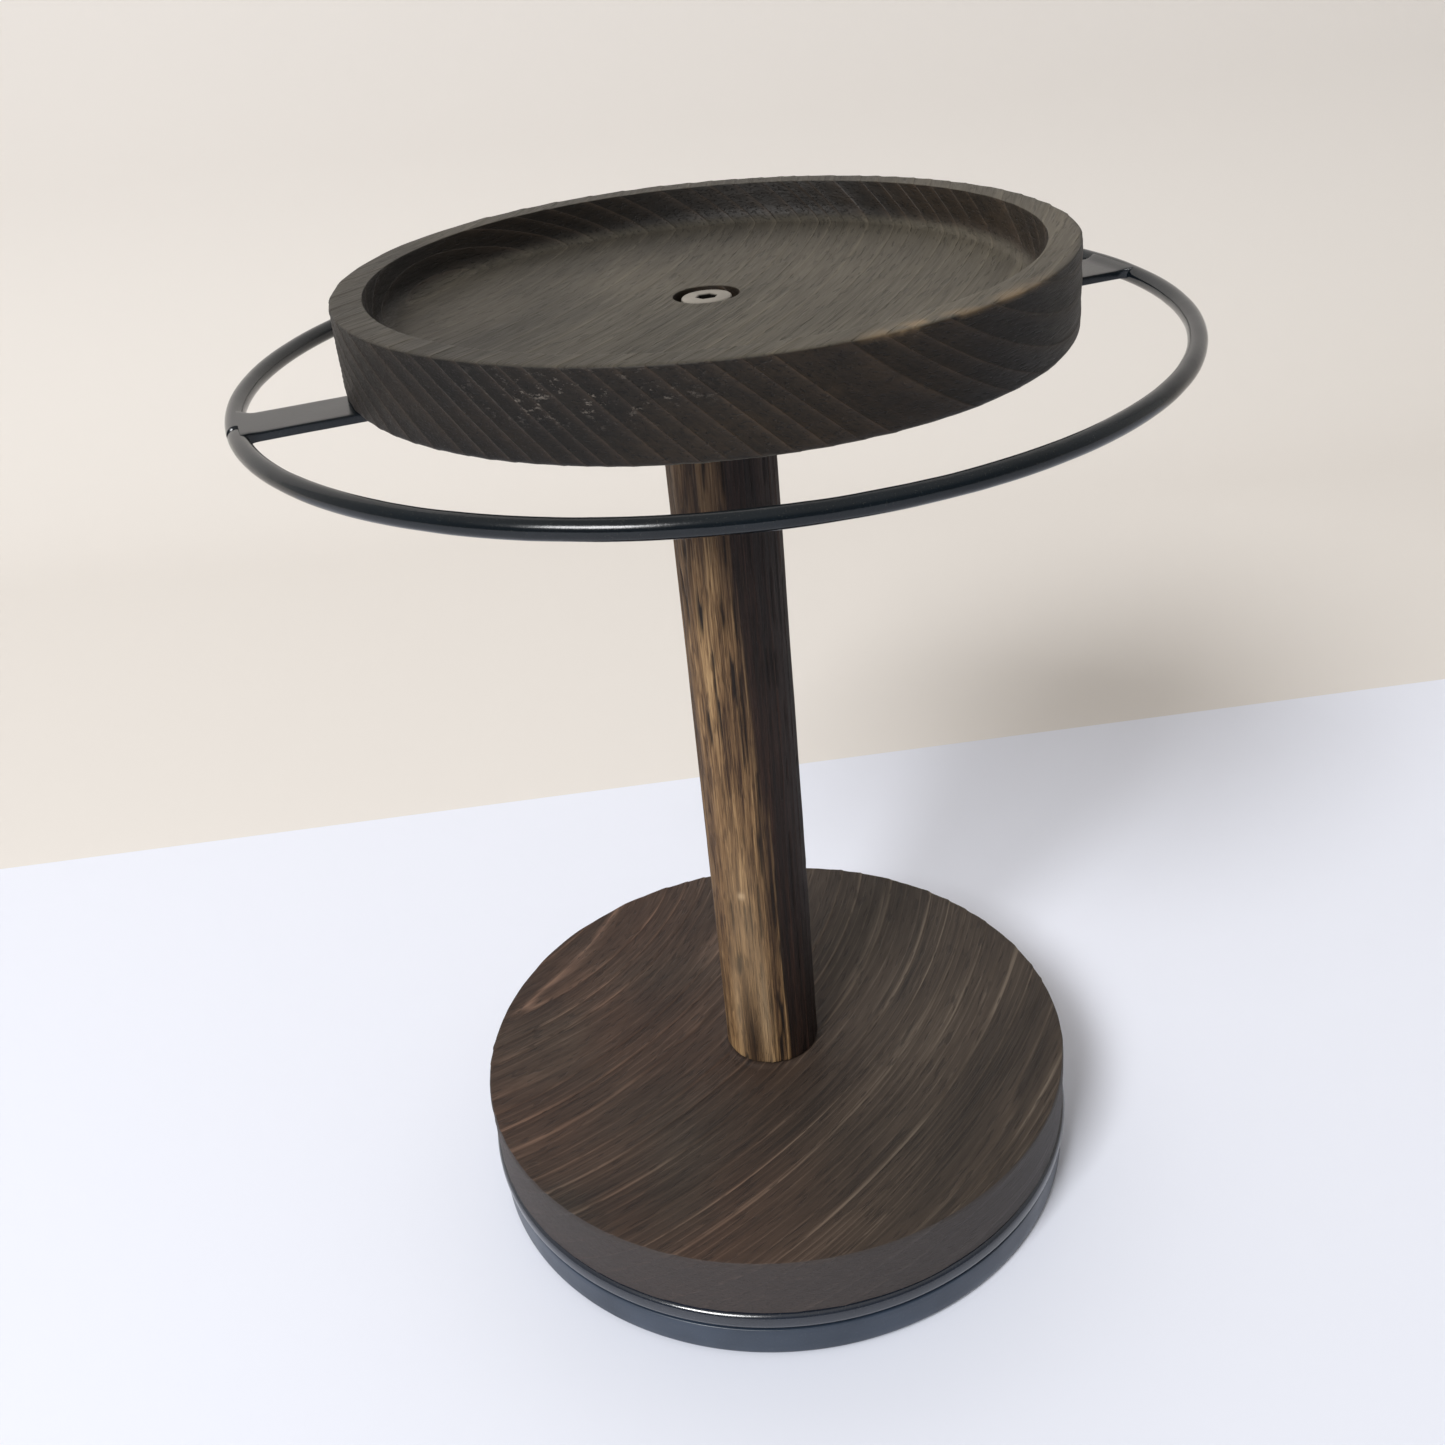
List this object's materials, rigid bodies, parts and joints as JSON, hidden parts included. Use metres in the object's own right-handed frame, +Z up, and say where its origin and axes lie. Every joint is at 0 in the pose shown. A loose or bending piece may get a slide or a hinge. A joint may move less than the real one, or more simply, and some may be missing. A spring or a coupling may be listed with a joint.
{
  "type": "mug tree",
  "caption": "Revolving mug tree: a dished wooden tray on a wooden post, a round steel ring on a flat cross strap to hang hooks on, and a wooden disc turning on a ball race in a steel pan.",
  "frame": {"origin": "middle of the plane that the feet stand on, on the post's axis", "axes": "+Z up along the post; -Y towards the viewer; the cross strap runs 18 degrees from +X towards +Y"},
  "size_m": [0.2634, 0.2634, 0.32],
  "materials": {
    "tray_wood": "charred, brushed grain, matt",
    "disc_wood": "charred, brushed grain, matt",
    "post_wood": "rough coarse grain, matt",
    "black_paint": "satin",
    "pan_paint": "gloss",
    "band_paint": "satin",
    "bolt_steel": "dull",
    "zinc_steel": "zinc plated",
    "ball_steel": "polished",
    "race_aluminium": "satin",
    "cage_plastic": "matt",
    "foot_rubber": "matt"
  },
  "bodies": {
    "still_base": {"base_pan": "band_paint", "foot_1": "foot_rubber", "foot_2": "foot_rubber", "foot_3": "foot_rubber", "foot_4": "foot_rubber", "inner_race": "race_aluminium", "race_rivet_1": "zinc_steel", "race_rivet_2": "zinc_steel", "race_rivet_3": "zinc_steel", "race_rivet_4": "zinc_steel"},
    "cage_and_balls": {"ball_cage": "cage_plastic", "ball_01": "ball_steel", "ball_02": "ball_steel", "ball_03": "ball_steel", "ball_04": "ball_steel", "ball_05": "ball_steel", "ball_06": "ball_steel", "ball_07": "ball_steel", "ball_08": "ball_steel", "ball_09": "ball_steel", "ball_10": "ball_steel", "ball_11": "ball_steel", "ball_12": "ball_steel"},
    "turntable": {"outer_race": "race_aluminium", "race_screw_1": "zinc_steel", "race_screw_2": "zinc_steel", "race_screw_3": "zinc_steel", "race_screw_4": "zinc_steel", "turntable_pan": "pan_paint", "base_disc": "disc_wood", "base_bolt": "bolt_steel", "base_washer": "zinc_steel", "post": "post_wood", "post_insert_bottom": "zinc_steel", "post_insert_top": "zinc_steel", "cross_strap": "black_paint", "hanging_ring": "black_paint", "tray": "tray_wood", "tray_bolt": "bolt_steel", "tray_washer": "zinc_steel"}
  },
  "joints": [
    {"name": "turntable_spin", "type": "hinge", "parent": "still_base", "child": "turntable", "pos_m": [0, 0, 0.0079], "axis": [0, 0, 1], "continuous": true},
    {"name": "cage_spin", "type": "hinge", "parent": "still_base", "child": "cage_and_balls", "pos_m": [0, 0, 0.0079], "axis": [0, 0, 1], "continuous": true}
  ],
  "couplings": [
    {"joint": "cage_spin", "follows": "turntable_spin", "ratio": 0.5}
  ]
}
